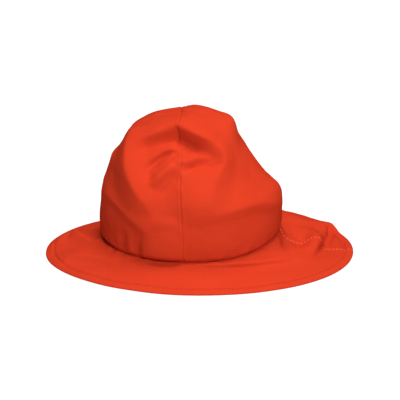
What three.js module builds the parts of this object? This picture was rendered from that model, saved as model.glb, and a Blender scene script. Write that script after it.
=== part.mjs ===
// Sou'wester rain hat of coated cloth, lying on its brim as it would on a table.
// Millimetres, +Z up. The hat's front points to -X, its back to +X, and the origin
// is on the floor under the middle of the brim. Angles run round the hat from the
// back: 0 is the back seam, 90 the wearer's right, 180 the front, 270 the left.
import * as THREE from "three";

// Brim, measured flat on the floor
const brimLength = 336;
const brimWidth = 262;
const brimWall = 1.5;
const hemWidth = 9;
const hemThickness = 2.6;
const hemRound = 0.6;
const restWidth = 2.4;

// Head opening, where the crown is sewn to the brim
const openingLength = 198;
const openingWidth = 174;
const openingForward = 9.3;
const joinHeightFront = 24;
const joinHeightSide = 22;
const joinHeightBack = 32;
const lapWidth = 4;

// Crown
const crownTop = 165;
const crownWall = 1.5;
const seamForward = 19.6;

// Clearances between sewn pieces
const seamGap = 0.3;
const joinGap = 0.3;

// How finely the cloth is faceted: steps up a panel, round the brim, across it, and along a
// fold from one point of its path to the next
const steps = { panel: 28, round: 80, across: 9, fold: 2 };

// Crown sections from the foot up. level is the share of the way up the cloth, rise the
// share of the crown's height, and front, back and side the shares of the foot's reach.
const crownSections = [
  { level: 0, rise: 0, front: 0.96, back: 0.97, side: 0.965 },
  { level: 0.034, rise: 0.035, front: 0.995, back: 0.995, side: 1 },
  { level: 0.116, rise: 0.15, front: 1.005, back: 1.002, side: 1.018 },
  { level: 0.23, rise: 0.3, front: 0.985, back: 0.975, side: 1.005 },
  { level: 0.285, rise: 0.37, front: 0.965, back: 0.945, side: 0.98 },
  { level: 0.344, rise: 0.45, front: 0.945, back: 0.85, side: 0.95 },
  { level: 0.464, rise: 0.6, front: 0.86, back: 0.725, side: 0.86 },
  { level: 0.598, rise: 0.75, front: 0.735, back: 0.62, side: 0.72 },
  { level: 0.707, rise: 0.87, front: 0.585, back: 0.54, side: 0.56 },
  { level: 0.782, rise: 0.93, front: 0.455, back: 0.46, side: 0.44 },
  { level: 0.865, rise: 0.975, front: 0.28, back: 0.31, side: 0.29 },
  { level: 1, rise: 1, front: 0, back: 0, side: 0 },
];

// Brim sections round the hat. Each column is a place on the way out from the crown,
// and its value the height there as a share of the join's height. rim lifts the edge.
const brimPlaces = { join: 0, root: 0.12, inner: 0.3, middle: 0.5, outer: 0.7, hem: 0.88, rim: 1 };
const brimSections = [
  { angle: 0, join: 1, root: 0.55, inner: 0.45, middle: 0.5, outer: 0.14, hem: 0.12, rim: 0.08 },
  { angle: 20, join: 1, root: 0.8, inner: 0.62, middle: 0.5, outer: 0.28, hem: 0.15, rim: 0.08 },
  { angle: 31, join: 1, root: 1.02, inner: 0.95, middle: 0.82, outer: 0.62, hem: 0.45, rim: 0.3 },
  { angle: 50, join: 1, root: 1.09, inner: 1.1, middle: 1.02, outer: 0.78, hem: 0.56, rim: 0.4 },
  { angle: 68, join: 1, root: 1, inner: 0.88, middle: 0.68, outer: 0.46, hem: 0.26, rim: 0.12 },
  { angle: 90, join: 1, root: 0.87, inner: 0.68, middle: 0.48, outer: 0.29, hem: 0.12, rim: 0 },
  { angle: 180, join: 1, root: 0.86, inner: 0.66, middle: 0.46, outer: 0.28, hem: 0.11, rim: 0 },
  { angle: 220, join: 1, root: 0.86, inner: 0.68, middle: 0.5, outer: 0.33, hem: 0.17, rim: 0.08 },
  { angle: 248, join: 1, root: 0.86, inner: 0.68, middle: 0.49, outer: 0.31, hem: 0.14, rim: 0.05 },
  { angle: 270, join: 1, root: 0.86, inner: 0.66, middle: 0.46, outer: 0.28, hem: 0.11, rim: 0 },
  { angle: 310, join: 1, root: 0.82, inner: 0.6, middle: 0.42, outer: 0.27, hem: 0.11, rim: 0 },
  { angle: 340, join: 1, root: 0.7, inner: 0.52, middle: 0.38, outer: 0.22, hem: 0.11, rim: 0.02 },
];

// Creases and dents. depth is how far one stands out of the cloth, less than 0 in a dent, and
// left and right are how far its flanks reach, seen from outside along its path. All three are
// shares of the crown's height. A path runs through [angle, level, share of the depth] points.
const crownFolds = [
  {
    name: "arch", depth: 0.048, left: 0.18, right: 0.058,
    path: [
      [212, 0.64, 0], [228, 0.725, 0.38], [254, 0.8, 0.65], [274, 0.795, 0.95], [291, 0.743, 1],
      [304, 0.685, 0.9], [311, 0.63, 0.75], [310, 0.57, 0.6], [298, 0.475, 0.45], [289, 0.35, 0.25],
      [288, 0.29, 0],
    ],
  },
  {
    name: "dent", depth: -0.1, left: 0.055, right: 0.14,
    path: [
      [216, 0.52, 0], [219, 0.61, 0.25], [226, 0.65, 0.42], [237, 0.7, 0.6], [249, 0.745, 0.8],
      [260, 0.768, 1], [271, 0.75, 1.1], [280, 0.71, 1.05], [288, 0.678, 1], [298, 0.648, 0.8],
      [305, 0.612, 0.5], [304, 0.54, 0],
    ],
  },
  {
    name: "left edge", depth: 0.057, left: 0.12, right: 0.075,
    path: [
      [249, 0.265, 0], [243, 0.35, 0.65], [236, 0.413, 0.95], [226, 0.485, 1], [217, 0.56, 0.7],
      [211, 0.65, 0],
    ],
  },
  {
    name: "step", depth: 0.022, left: 0.06, right: 0.05,
    path: [[255, 0.583, 0], [271, 0.6, 0.85], [285, 0.633, 1], [302, 0.598, 0]],
  },
  {
    name: "band", depth: -0.027, left: 0.06, right: 0.04,
    path: [[268, 0.54, 0], [280, 0.56, 0.9], [298, 0.562, 1], [309, 0.562, 0]],
  },
  {
    name: "plateau", depth: 0.033, left: 0.12, right: 0.11,
    path: [[296, 0.54, 0], [292, 0.46, 0.65], [285, 0.37, 1], [276, 0.23, 0]],
  },
  {
    name: "front hollow", depth: -0.033, left: 0.085, right: 0.06,
    path: [
      [160, 0.44, 0], [185, 0.4, 0.55], [207, 0.37, 1], [224, 0.343, 1], [234, 0.305, 0.8],
      [243, 0.26, 0],
    ],
  },
  {
    name: "front crest", depth: 0.042, left: 0.1, right: 0.065,
    path: [[168, 0.26, 0], [201, 0.3, 0.6], [224, 0.275, 1], [242, 0.21, 0.85], [252, 0.155, 0]],
  },
  {
    name: "front low hollow", depth: -0.03, left: 0.075, right: 0.075,
    path: [[172, 0.12, 0], [194, 0.115, 0.6], [214, 0.105, 1], [237, 0.1, 0.6], [248, 0.08, 0]],
  },
  {
    name: "left crest", depth: 0.034, left: 0.16, right: 0.068,
    path: [
      [268, 0.255, 0], [281, 0.283, 0.45], [296, 0.288, 0.8], [323, 0.29, 1], [345, 0.208, 0.7],
      [358, 0.16, 0],
    ],
  },
  {
    name: "back shoulder", depth: 0.018, left: 0.075, right: 0.075,
    path: [[336, 0.44, 0], [345, 0.38, 0.8], [354, 0.3, 1], [359, 0.15, 0]],
  },
  {
    name: "back corner", depth: 0.022, left: 0.07, right: 0.06,
    path: [[330, 0.78, 0], [350, 0.765, 0.85], [375, 0.76, 1], [400, 0.76, 0.55], [420, 0.77, 0]],
  },
  {
    name: "top lobe", depth: 0.024, left: 0.115, right: 0.09,
    path: [
      [275, 0.92, 0], [300, 0.92, 0.7], [340, 0.93, 0.8], [380, 0.9, 1], [420, 0.87, 0.8],
      [445, 0.84, 0],
    ],
  },
  {
    name: "right hollow", depth: -0.048, left: 0.19, right: 0.145,
    path: [[52, 0.66, 0], [72, 0.6, 0.8], [95, 0.53, 1], [120, 0.56, 0.8], [140, 0.6, 0]],
  },
  {
    name: "right ridge", depth: 0.024, left: 0.13, right: 0.06,
    path: [[48, 0.74, 0], [66, 0.71, 0.9], [92, 0.68, 1], [124, 0.7, 0.9], [146, 0.72, 0]],
  },
  {
    name: "right low crease", depth: -0.021, left: 0.1, right: 0.06,
    path: [[34, 0.2, 0], [52, 0.26, 1], [80, 0.29, 1], [104, 0.25, 0.8], [128, 0.29, 0]],
  },
  {
    name: "front pleat", depth: -0.018, left: 0.06, right: 0.085,
    path: [[146, 0.7, 0], [156, 0.6, 1], [161, 0.48, 1], [157, 0.34, 0]],
  },
  {
    name: "back pleat", depth: 0.018, left: 0.1, right: 0.06,
    path: [[14, 0.74, 0], [24, 0.62, 1], [28, 0.48, 1], [20, 0.36, 0]],
  },
];
const brimFolds = [
  {
    name: "near valley", depth: -0.027, left: 0.055, right: 0.03,
    path: [
      [271, 0.13, 0], [284, 0.17, 0.75], [295, 0.19, 1], [306, 0.22, 1], [318, 0.29, 0.7],
      [331, 0.5, 0],
    ],
  },
  {
    name: "front upper ridge", depth: 0.03, left: 0.03, right: 0.07,
    path: [
      [176, 0.9, 0], [166, 0.8, 0.5], [160, 0.68, 0.9], [162, 0.56, 1], [170, 0.42, 0.95],
      [192, 0.14, 0],
    ],
  },
  {
    name: "front lower ridge", depth: 0.011, left: 0.036, right: 0.036,
    path: [[189, 0.86, 0], [196, 0.7, 0.8], [206, 0.48, 1], [219, 0.33, 0.7], [232, 0.2, 0]],
  },
  {
    name: "back tuck", depth: -0.036, left: 0.042, right: 0.03,
    path: [[28, 1, 0], [20, 0.84, 0.8], [11, 0.68, 1], [-1, 0.61, 1], [-12, 0.58, 0.8], [-20, 0.56, 0]],
  },
  {
    name: "back lump", depth: 0.02, left: 0.055, right: 0.055,
    path: [[16, 0.6, 0], [8, 0.53, 0.8], [0, 0.5, 1], [-8, 0.46, 0.7], [-16, 0.42, 0]],
  },
  {
    name: "back dip", depth: -0.015, left: 0.055, right: 0.055,
    path: [[20, 0.36, 0], [8, 0.32, 0.8], [0, 0.31, 1], [-7, 0.3, 0.7], [-14, 0.28, 0]],
  },
  {
    name: "back dimple", depth: -0.019, left: 0.03, right: 0.03,
    path: [[0, 0.02, 0], [-8, 0.08, 1], [-16, 0.14, 1], [-23, 0.2, 0]],
  },
  {
    name: "far wave", depth: 0.024, left: 0.1, right: 0.06,
    path: [[76, 0.9, 0], [92, 0.66, 1], [112, 0.5, 1], [132, 0.36, 0]],
  },
  {
    name: "far crease", depth: -0.018, left: 0.042, right: 0.072,
    path: [[118, 0.9, 0], [126, 0.7, 1], [140, 0.5, 1], [156, 0.34, 0]],
  },
];

// How far the folds stay off the sewn edges and the rim, as shares of the way across
const quiet = { crownFoot: 0.07, brimJoin: 0.1, brimRim: 0.12 };

// A fold's section, in shares of its flank: how much is rounded at the crest and at the foot
const foldSection = { crest: 0.2, foot: 0.2 };

// Small change of angle and level between which slopes are measured
const probe = 1e-3;

const { degToRad, radToDeg, euclideanModulo, clamp, lerp, smoothstep } = THREE.MathUtils;
const up = new THREE.Vector3(0, 0, 1);

// Reaches from the line where the crown's seams cross: of the crown's foot, and of the rim
const footFront = openingLength / 2 + openingForward - seamForward;
const footBack = openingLength / 2 - openingForward + seamForward;
const footSide = openingWidth / 2;
const rimFront = brimLength / 2 - seamForward;
const rimBack = brimLength / 2 + seamForward;
const rimSide = brimWidth / 2;

// Smooth curve through the points of a table that never overshoots them
function tableCurve(places, values) {
  const last = places.length - 1;
  const slopes = [];
  for (let i = 0; i < last; i++) {
    slopes.push((values[i + 1] - values[i]) / (places[i + 1] - places[i]));
  }
  const tangents = places.map((place, i) => {
    if (i === 0) return slopes[0];
    if (i === last) return slopes[last - 1];
    if (slopes[i - 1] * slopes[i] <= 0) return 0;
    return (2 * slopes[i - 1] * slopes[i]) / (slopes[i - 1] + slopes[i]);
  });
  return (at) => {
    let i = 0;
    while (i < last - 1 && at > places[i + 1]) i++;
    const span = places[i + 1] - places[i];
    const t = (at - places[i]) / span;
    const rise = values[i + 1] - values[i];
    const start = span * tangents[i];
    const end = span * tangents[i + 1];
    return values[i] + t * (start + t * (3 * rise - 2 * start - end + t * (start + end - 2 * rise)));
  };
}

const columnOf = (rows, key) => rows.map((row) => row[key]);
const levels = columnOf(crownSections, "level");
const riseAt = tableCurve(levels, columnOf(crownSections, "rise"));
const frontShareAt = tableCurve(levels, columnOf(crownSections, "front"));
const backShareAt = tableCurve(levels, columnOf(crownSections, "back"));
const sideShareAt = tableCurve(levels, columnOf(crownSections, "side"));

// A column of the brim table as a curve that closes on itself round the hat
function ringCurve(key) {
  const places = [];
  const values = [];
  for (const turn of [-360, 0, 360]) {
    for (const row of brimSections) {
      places.push(row.angle + turn);
      values.push(row[key]);
    }
  }
  return tableCurve(places, values);
}
const brimCurves = Object.keys(brimPlaces).map(ringCurve);

// Egg-shaped ring about the line where the crown's seams cross
function ring(angle, front, back, side) {
  const half = (front + back) / 2;
  const shift = (back - front) / 2;
  const lean = half > 0 ? Math.asin(shift / half) : 0;
  const turn = angle + lean * Math.sin(angle);
  return new THREE.Vector3(shift - seamForward + half * Math.cos(turn), side * Math.sin(turn), 0);
}

function joinHeight(angle) {
  const along = Math.cos(angle);
  const end = along > 0 ? joinHeightBack : joinHeightFront;
  return joinHeightSide + (end - joinHeightSide) * along ** 4;
}

function crownPlain(angle, level) {
  const front = footFront * frontShareAt(level);
  const back = footBack * backShareAt(level);
  const point = ring(angle, front, back, footSide * sideShareAt(level));
  const foot = joinHeight(angle);
  point.z = foot + riseAt(level) * (crownTop - foot);
  return point;
}

// The brim's upper face, from under the crown's foot (across 0) to the rim (across 1)
function brimPlain(angle, across) {
  const degrees = euclideanModulo(radToDeg(angle), 360);
  const shares = brimCurves.map((curve) => curve(degrees));
  const drop = joinHeight(angle) - joinGap - hemThickness;
  const point = crownPlain(angle, 0).lerp(ring(angle, rimFront, rimBack, rimSide), across);
  point.z = hemThickness + drop * tableCurve(Object.values(brimPlaces), shares)(across);
  return point;
}

// Outward normal of a surface given as a function of angle and level
function normalOf(surface, facing, angle, level) {
  const low = Math.max(level - probe, 0);
  const high = Math.min(level + probe, 1);
  const round = surface(angle + probe, level).sub(surface(angle - probe, level));
  const along = surface(angle, high).sub(surface(angle, low));
  return round.cross(along).multiplyScalar(facing).normalize();
}

// Flanks of a fold: straight, with a tight crest and a soft foot
function foldProfile(offset) {
  const fall = 1 + foldSection.crest - Math.hypot(offset, foldSection.crest);
  return (fall + Math.hypot(fall, foldSection.foot)) / 2;
}

// Turns fold rows into lengths, with each path laid on the plain surface
function layFolds(rows, surface) {
  return rows.map((row) => {
    const points = row.path.map(([degrees, level, share]) => new THREE.Vector3(degrees, level, share));
    const curve = new THREE.CatmullRomCurve3(points, false, "catmullrom", 0.5);
    const line = curve.getPoints(steps.fold * (points.length - 1));
    return {
      laid: line.map((p) => surface(degToRad(p.x), p.y)),
      heights: line.map((p) => p.z * row.depth * crownTop),
      left: row.left * crownTop,
      right: row.right * crownTop,
    };
  });
}

function foldOffset(point, normal, folds) {
  let total = 0;
  for (const { laid, heights, left, right } of folds) {
    let nearest = Infinity;
    let height = 0;
    let side = 1;
    for (let i = 0; i < laid.length - 1; i++) {
      const run = laid[i + 1].clone().sub(laid[i]);
      const away = point.clone().sub(laid[i]);
      const part = clamp(away.dot(run) / run.lengthSq(), 0, 1);
      away.addScaledVector(run, -part);
      if (away.length() < nearest) {
        nearest = away.length();
        height = lerp(heights[i], heights[i + 1], part);
        side = run.cross(away).dot(normal);
      }
    }
    total += height * foldProfile(nearest / (side > 0 ? left : right));
  }
  return total;
}

const crownLaid = layFolds(crownFolds, crownPlain);
const brimLaid = layFolds(brimFolds, brimPlain);

function crownFace(angle, level) {
  const point = crownPlain(angle, level);
  const normal = normalOf(crownPlain, 1, angle, level);
  const fade = smoothstep(level, 0, quiet.crownFoot);
  return point.addScaledVector(normal, fade * foldOffset(point, normal, crownLaid));
}

function brimFace(angle, across) {
  const point = brimPlain(angle, across);
  const normal = normalOf(brimPlain, -1, angle, across);
  const fade = smoothstep(across, 0, quiet.brimJoin) * smoothstep(1 - across, 0, quiet.brimRim);
  return point.addScaledVector(normal, fade * foldOffset(point, normal, brimLaid));
}

// A closed piece of cloth, whose write function gives its faces by their corner points
function clothPiece(name, color, write) {
  const positions = [];
  const triangle = (a, b, c) => positions.push(...a, ...b, ...c);
  const quad = (a, b, c, d) => {
    triangle(a, b, c);
    triangle(a, c, d);
  };
  write(triangle, quad);
  const geometry = new THREE.BufferGeometry();
  geometry.setAttribute("position", new THREE.Float32BufferAttribute(positions, 3));
  geometry.computeVertexNormals();
  const material = new THREE.MeshStandardMaterial({ color, roughness: 0.5, metalness: 0 });
  const mesh = new THREE.Mesh(geometry, material);
  mesh.name = name;
  return mesh;
}

// One quarter of the crown, a triangle of cloth with its tip at the top
function crownPanel(name, startDegrees) {
  const quarter = degToRad(90);
  const start = degToRad(startDegrees);
  const tipLevel = 1 - seamGap / crownTop;
  const outer = [];
  const inner = [];
  for (let row = 0; row <= steps.panel; row++) {
    const level = (1 - row / steps.panel) * tipLevel;
    outer.push([]);
    inner.push([]);
    for (let column = 0; column <= row; column++) {
      const share = row === 0 ? 0.5 : column / row;
      const angle = start + quarter * share;
      const point = crownFace(angle, level);
      const normal = row === 0 ? up.clone() : normalOf(crownFace, 1, angle, level);
      const edge = row === 0 ? 0 : column === 0 ? 1 : column === row ? -1 : 0;
      if (edge !== 0) {
        const round = crownFace(angle + probe, level).sub(crownFace(angle - probe, level)).normalize();
        point.addScaledVector(round, (edge * seamGap) / 2);
      }
      outer[row].push(point);
      inner[row].push(point.clone().addScaledVector(normal, -crownWall));
    }
  }
  return clothPiece(name, "#e2401f", (triangle, quad) => {
    for (let row = 0; row < steps.panel; row++) {
      for (let column = 0; column <= row; column++) {
        triangle(outer[row][column], outer[row + 1][column], outer[row + 1][column + 1]);
        triangle(inner[row][column], inner[row + 1][column + 1], inner[row + 1][column]);
        if (column < row) {
          triangle(outer[row][column], outer[row + 1][column + 1], outer[row][column + 1]);
          triangle(inner[row][column], inner[row][column + 1], inner[row + 1][column + 1]);
        }
      }
      quad(outer[row][0], inner[row][0], inner[row + 1][0], outer[row + 1][0]);
      quad(outer[row][row], outer[row + 1][row + 1], inner[row + 1][row + 1], inner[row][row]);
    }
    for (let column = 0; column < steps.panel; column++) {
      const foot = steps.panel;
      quad(outer[foot][column], inner[foot][column], inner[foot][column + 1], outer[foot][column + 1]);
    }
  });
}

// The brim's section at one angle, upper points outwards and lower points under them
function brimSection(angle) {
  const inner = brimPlain(angle, 0);
  const rim = brimPlain(angle, 1);
  const reach = Math.hypot(rim.x - inner.x, rim.y - inner.y);
  const outwards = new THREE.Vector3((rim.x - inner.x) / reach, (rim.y - inner.y) / reach, 0);
  const hemLine = 1 - hemWidth / reach;
  const lift = rim.z - hemThickness;
  const upper = [inner.clone().addScaledVector(outwards, -lapWidth)];
  const lower = [upper[0].clone().addScaledVector(up, -brimWall)];
  for (let step = 0; step <= steps.across; step++) {
    const across = (hemLine * step) / steps.across;
    const point = brimFace(angle, across);
    const normal = normalOf(brimFace, -1, angle, across);
    upper.push(point);
    lower.push(point.clone().addScaledVector(normal, -brimWall));
  }
  const hem = upper[upper.length - 1];
  upper.push(brimFace(angle, (1 + hemLine) / 2));
  lower.push(hem.clone().addScaledVector(outwards, hemRound).addScaledVector(up, -hemThickness));
  upper.push(rim);
  lower.push(rim.clone().addScaledVector(outwards, -hemRound - restWidth).setZ(lift));
  upper.push(rim.clone().setZ(lift + hemRound));
  lower.push(rim.clone().addScaledVector(outwards, -hemRound).setZ(lift));
  return { upper, lower };
}

// One ring of cloth, closed by the seam at the back, with its edge turned under
function brim() {
  const sections = [];
  for (let column = 0; column <= steps.round; column++) {
    const section = brimSection((column / steps.round) * 2 * Math.PI);
    if (column === 0 || column === steps.round) {
      const away = (column === 0 ? seamGap : -seamGap) / 2;
      section.upper.forEach((point) => (point.y += away));
      section.lower.forEach((point) => (point.y += away));
    }
    sections.push(section);
  }
  return clothPiece("brim", "#e4451f", (triangle, quad) => {
    const last = sections[0].upper.length - 1;
    for (let column = 0; column < steps.round; column++) {
      const here = sections[column];
      const next = sections[column + 1];
      for (let row = 0; row < last; row++) {
        quad(here.upper[row], here.upper[row + 1], next.upper[row + 1], next.upper[row]);
        quad(here.lower[row], next.lower[row], next.lower[row + 1], here.lower[row + 1]);
      }
      quad(here.upper[last], here.lower[last], next.lower[last], next.upper[last]);
      quad(here.upper[0], next.upper[0], next.lower[0], here.lower[0]);
    }
    for (let row = 0; row < last; row++) {
      const first = sections[0];
      const end = sections[steps.round];
      quad(first.upper[row], first.lower[row], first.lower[row + 1], first.upper[row + 1]);
      quad(end.upper[row], end.upper[row + 1], end.lower[row + 1], end.lower[row]);
    }
  });
}

const hat = new THREE.Group();
hat.add(crownPanel("crown_panel_back_right", 0));
hat.add(crownPanel("crown_panel_front_right", 90));
hat.add(crownPanel("crown_panel_front_left", 180));
hat.add(crownPanel("crown_panel_back_left", 270));
hat.add(brim());

export default hat;
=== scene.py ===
import math

import bpy
import numpy as np
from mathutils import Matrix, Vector


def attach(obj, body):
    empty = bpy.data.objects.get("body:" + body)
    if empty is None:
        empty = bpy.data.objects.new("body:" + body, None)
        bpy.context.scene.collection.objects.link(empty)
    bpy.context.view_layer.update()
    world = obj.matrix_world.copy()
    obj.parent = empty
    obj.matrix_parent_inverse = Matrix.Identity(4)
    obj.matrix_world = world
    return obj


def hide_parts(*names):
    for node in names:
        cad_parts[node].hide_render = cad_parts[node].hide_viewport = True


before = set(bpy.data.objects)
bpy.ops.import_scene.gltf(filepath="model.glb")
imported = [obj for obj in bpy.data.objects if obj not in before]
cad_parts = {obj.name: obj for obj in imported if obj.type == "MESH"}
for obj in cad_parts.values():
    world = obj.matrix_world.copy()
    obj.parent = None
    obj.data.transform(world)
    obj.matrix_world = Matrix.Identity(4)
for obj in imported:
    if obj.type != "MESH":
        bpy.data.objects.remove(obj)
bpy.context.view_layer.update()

# Sou'wester rain hat of coated cloth, lying on its brim.
# Shapes are worked out in millimetres in the frame of the solids and turned to metres last.
# Angles run round the hat: 0 back seam, 90 wearer's right, 180 front, 270 left (towards the camera).
metre = 0.001
print("frame loaded:", sorted(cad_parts))


# Studio

studio = {
    "fieldWidth": 0.436,      # what the picture spans at the hat, in metres
    "elevation": 20,          # degrees above the floor, as the hat was photographed
    "distance": 8.0,          # far away with a long lens, so that nothing is foreshortened
    "clip": 30,
    "sensor": 36,             # mm
    "aim": (0.0005, 0, 0.063),
    "floorSize": 8.0,
    "floor": "#626262",       # of the sheet itself, which is lit from behind
    "floorRoughness": 0.9,
    "glow": "#FFFFFF",
    "floorGlow": 1.0,         # keeps it white in the hat's soft shadow
    "world": "#FFFFFF",
    "worldStrength": 0.04,
}
lamps = [
    {"name": "key", "place": (0.42, -1.6, 1.15), "size": 0.8, "watts": 31},
    {"name": "top", "place": (0.05, -0.1, 1.9), "size": 1.2, "watts": 40},
]


def linear(hexColour):
    parts = [int(hexColour[i : i + 2], 16) / 255 for i in (1, 3, 5)]
    return tuple(p / 12.92 if p <= 0.04045 else ((p + 0.055) / 1.055) ** 2.4 for p in parts) + (1,)


def addNode(tree, kind, values=None, links=None, **settings):
    node = tree.nodes.new(kind)
    for name, value in settings.items():
        setattr(node, name, value)
    for socket, value in (values or {}).items():
        node.inputs[socket].default_value = value
    for socket, source in (links or {}).items():
        tree.links.new(source, node.inputs[socket])
    return node


def place(data, name):
    thing = bpy.data.objects.new(name, data)
    bpy.context.scene.collection.objects.link(thing)
    return thing


def makeCamera():
    data = bpy.data.cameras.new("camera")
    data.sensor_width = studio["sensor"]
    data.lens = studio["sensor"] * studio["distance"] / studio["fieldWidth"]
    data.clip_end = studio["clip"]
    camera = place(data, "camera")
    tilt = math.radians(studio["elevation"])
    away = Vector((0, -math.cos(tilt), math.sin(tilt)))
    camera.location = Vector(studio["aim"]) + away * studio["distance"]
    camera.rotation_euler = (math.radians(90) - tilt, 0, 0)
    bpy.context.scene.camera = camera


def makeLights():
    for lamp in lamps:
        data = bpy.data.lights.new(lamp["name"], "AREA")
        data.shape = "DISK"
        data.size = lamp["size"]
        data.energy = lamp["watts"]
        light = place(data, lamp["name"])
        light.location = lamp["place"]
        light.rotation_euler = (Vector(studio["aim"]) - light.location).to_track_quat("-Z", "Y").to_euler()
    world = bpy.data.worlds.new("studio")
    world.use_nodes = True
    world.node_tree.nodes["Background"].inputs["Color"].default_value = linear(studio["world"])
    world.node_tree.nodes["Background"].inputs["Strength"].default_value = studio["worldStrength"]
    bpy.context.scene.world = world
    bpy.context.scene.view_settings.view_transform = "Standard"


def makeFloor():
    half = studio["floorSize"] / 2
    data = bpy.data.meshes.new("floor")
    corners = [(-half, -half, 0), (half, -half, 0), (half, half, 0), (-half, half, 0)]
    data.from_pydata(corners, [], [(0, 1, 2, 3)])
    sheet = bpy.data.materials.new("white acrylic sheet, lit from behind")
    sheet.use_nodes = True
    shader = sheet.node_tree.nodes["Principled BSDF"]
    shader.inputs["Base Color"].default_value = linear(studio["floor"])
    shader.inputs["Roughness"].default_value = studio["floorRoughness"]
    shader.inputs["Emission Color"].default_value = linear(studio["glow"])
    shader.inputs["Emission Strength"].default_value = studio["floorGlow"]
    data.materials.append(sheet)
    place(data, "floor")


makeCamera()
makeLights()
makeFloor()
print("studio ready")


# Materials

clothLook = {
    "lit": "#BC361F",          # the coating at its clearest
    "deep": "#B23019",         # slow patches where it is a little denser
    "pale": "#C64A2C",         # painted highlight on the sharp crests
    "highlightStrength": 0.6,             # how far the sharpest crests are painted towards it
    "roughness": 0.5,
    "refraction": 1.45,
    "gloss": 0.0,              # the photo's soft light shows none
    "grain": 1.3,              # mm between bumps of the coating; the real 0.6 is too fine to show
    "grainDepth": 0.03,        # mm
    "thread": 1.1,             # mm between threads below it; the real 0.4 is too fine to show
    "threadDepth": 0.012,      # mm
    "patch": 60,               # mm across the slow patches
}
threadLook = {
    "hem": "#B2311B",          # in the cloth's own colour
    "pale": "#E3917A",         # beside the back seam
    "shade": 0.82,             # between the fibres, as a share of the colour
    "fluff": 0.4,              # mm
    "roughness": 0.6,
    "gloss": 0.1,
}


def makeCoatedCloth():
    # PU-coated cotton: a thin rubbery film on a plain weave. It has a fine leathery grain,
    # a hint of the threads, and a painted highlight that makes the sharp crests paler.
    material = bpy.data.materials.new("PU-coated cotton cloth")
    material.use_nodes = True
    tree = material.node_tree
    shader = tree.nodes["Principled BSDF"]
    shader.inputs["Roughness"].default_value = clothLook["roughness"]
    shader.inputs["IOR"].default_value = clothLook["refraction"]
    shader.inputs["Specular IOR Level"].default_value = clothLook["gloss"]
    spot = addNode(tree, "ShaderNodeTexCoord").outputs["Object"]
    cloth = addNode(tree, "ShaderNodeUVMap", uv_map="cloth").outputs["UV"]
    # Painted highlight: the sharp crests are mixed towards the paler colour in place of a shine
    crestHighlight = addNode(tree, "ShaderNodeAttribute", attribute_name="crestHighlight").outputs["Fac"]
    patches = addNode(tree, "ShaderNodeTexNoise", {"Scale": 1 / metre / clothLook["patch"], "Detail": 3.0},
                      {"Vector": spot})
    tone = addNode(tree, "ShaderNodeMix", {6: linear(clothLook["deep"]), 7: linear(clothLook["lit"])},
                   {0: patches.outputs["Fac"]}, data_type="RGBA")
    highlightAmount = addNode(tree, "ShaderNodeMath", {1: clothLook["highlightStrength"]}, {0: crestHighlight}, operation="MULTIPLY")
    highlighted = addNode(tree, "ShaderNodeMix", {7: linear(clothLook["pale"])},
                   {0: highlightAmount.outputs[0], 6: tone.outputs[2]}, data_type="RGBA")
    tree.links.new(highlighted.outputs[2], shader.inputs["Base Color"])
    grain = addNode(tree, "ShaderNodeTexNoise", {"Scale": 1 / metre / clothLook["grain"], "Detail": 2.0},
                    {"Vector": spot})
    split = addNode(tree, "ShaderNodeSeparateXYZ", links={0: cloth})
    rate = 2 * math.pi / clothLook["thread"]
    waves = []
    for axis in (0, 1):
        turn = addNode(tree, "ShaderNodeMath", {1: rate}, {0: split.outputs[axis]}, operation="MULTIPLY")
        bend = addNode(tree, "ShaderNodeMath", links={0: turn.outputs[0]}, operation="SINE")
        waves.append(bend.outputs[0])
    weave = addNode(tree, "ShaderNodeMath", links={0: waves[0], 1: waves[1]}, operation="MULTIPLY")
    coarse = addNode(tree, "ShaderNodeBump", {"Distance": clothLook["threadDepth"] * metre, "Strength": 1.0},
                     {"Height": weave.outputs[0]})
    fine = addNode(tree, "ShaderNodeBump", {"Distance": clothLook["grainDepth"] * metre, "Strength": 1.0},
                   {"Height": grain.outputs["Fac"], "Normal": coarse.outputs[0]})
    tree.links.new(fine.outputs[0], shader.inputs["Normal"])
    return material


def makeThread(name, colour):
    # Spun polyester sewing thread: dull, a little fuzzy, with the twist too fine to show
    material = bpy.data.materials.new(name)
    material.use_nodes = True
    tree = material.node_tree
    shader = tree.nodes["Principled BSDF"]
    shader.inputs["Roughness"].default_value = threadLook["roughness"]
    shader.inputs["Specular IOR Level"].default_value = threadLook["gloss"]
    spot = addNode(tree, "ShaderNodeTexCoord").outputs["Object"]
    fluff = addNode(tree, "ShaderNodeTexNoise", {"Scale": 1 / metre / threadLook["fluff"], "Detail": 2.0},
                    {"Vector": spot})
    dark = tuple(threadLook["shade"] * c for c in linear(colour)[:3]) + (1,)
    tone = addNode(tree, "ShaderNodeMix", {6: dark, 7: linear(colour)},
                   {0: fluff.outputs["Fac"]}, data_type="RGBA")
    tree.links.new(tone.outputs[2], shader.inputs["Base Color"])
    return material


clothMaterial = makeCoatedCloth()
hemThread = makeThread("spun polyester thread, red", threadLook["hem"])
paleThread = makeThread("spun polyester thread, pale", threadLook["pale"])
print("materials ready")


# Plain form of the hat, before it was crumpled

# In mm. The crown's wall and the gap at the seams are smaller here than in the solids.
sizes = {
    "brimLength": 336, "brimWidth": 262, "brimWall": 1.5, "hemWidth": 9, "hemThickness": 2.6,
    "openingLength": 198, "openingWidth": 174, "openingForward": 9.3,
    "joinFront": 24, "joinSide": 22, "joinBack": 32, "joinGap": 0.3, "lap": 4,
    "crownTop": 165, "crownWall": 1.3, "seamForward": 19.6, "seamGap": 0.02,
}
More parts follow.
